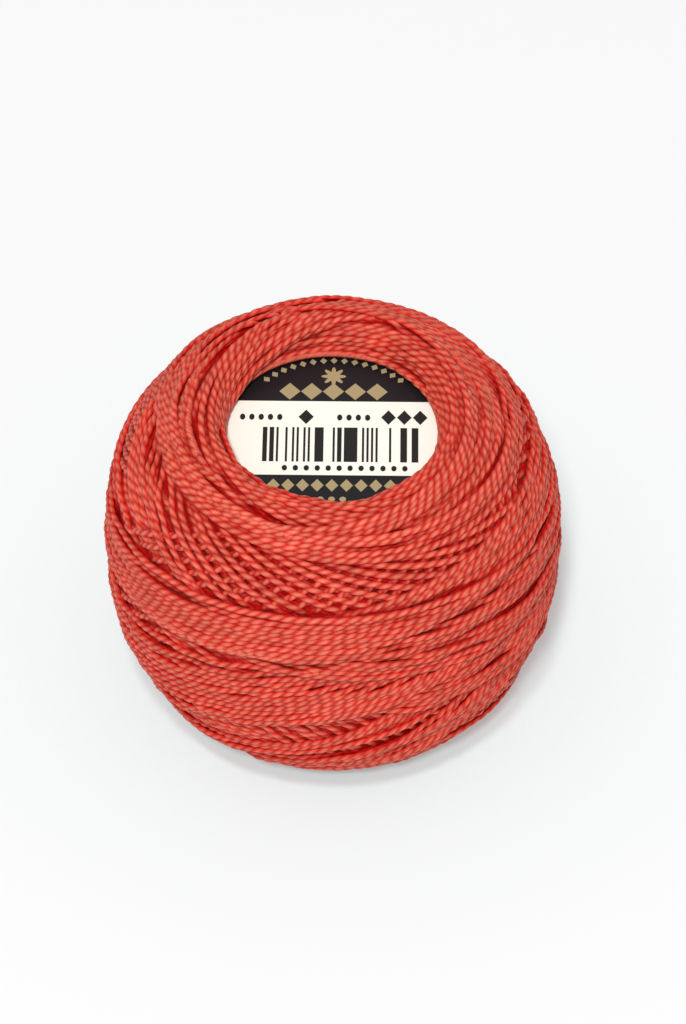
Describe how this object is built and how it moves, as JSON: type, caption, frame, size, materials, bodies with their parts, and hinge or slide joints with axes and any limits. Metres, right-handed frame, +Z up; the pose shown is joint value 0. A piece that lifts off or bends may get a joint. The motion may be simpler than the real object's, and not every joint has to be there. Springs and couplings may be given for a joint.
{
  "type": "ball of pearl cotton",
  "caption": "Hollow-ended wound ball of coral red pearl cotton thread with a round card label set in its upper end.",
  "frame": {"origin": "centre of the flat ring on the ball's lower end, where it stands on the floor", "axes": "+Z up along the winding axis, out of the labelled end; -Y is the side from which the label's print reads upright"},
  "size_m": [0.0449, 0.045, 0.0371],
  "materials": {
    "cotton": "satin",
    "card": "gloss"
  },
  "bodies": {
    "root": {"wound_thread": "cotton", "end_label": "card"}
  },
  "joints": []
}
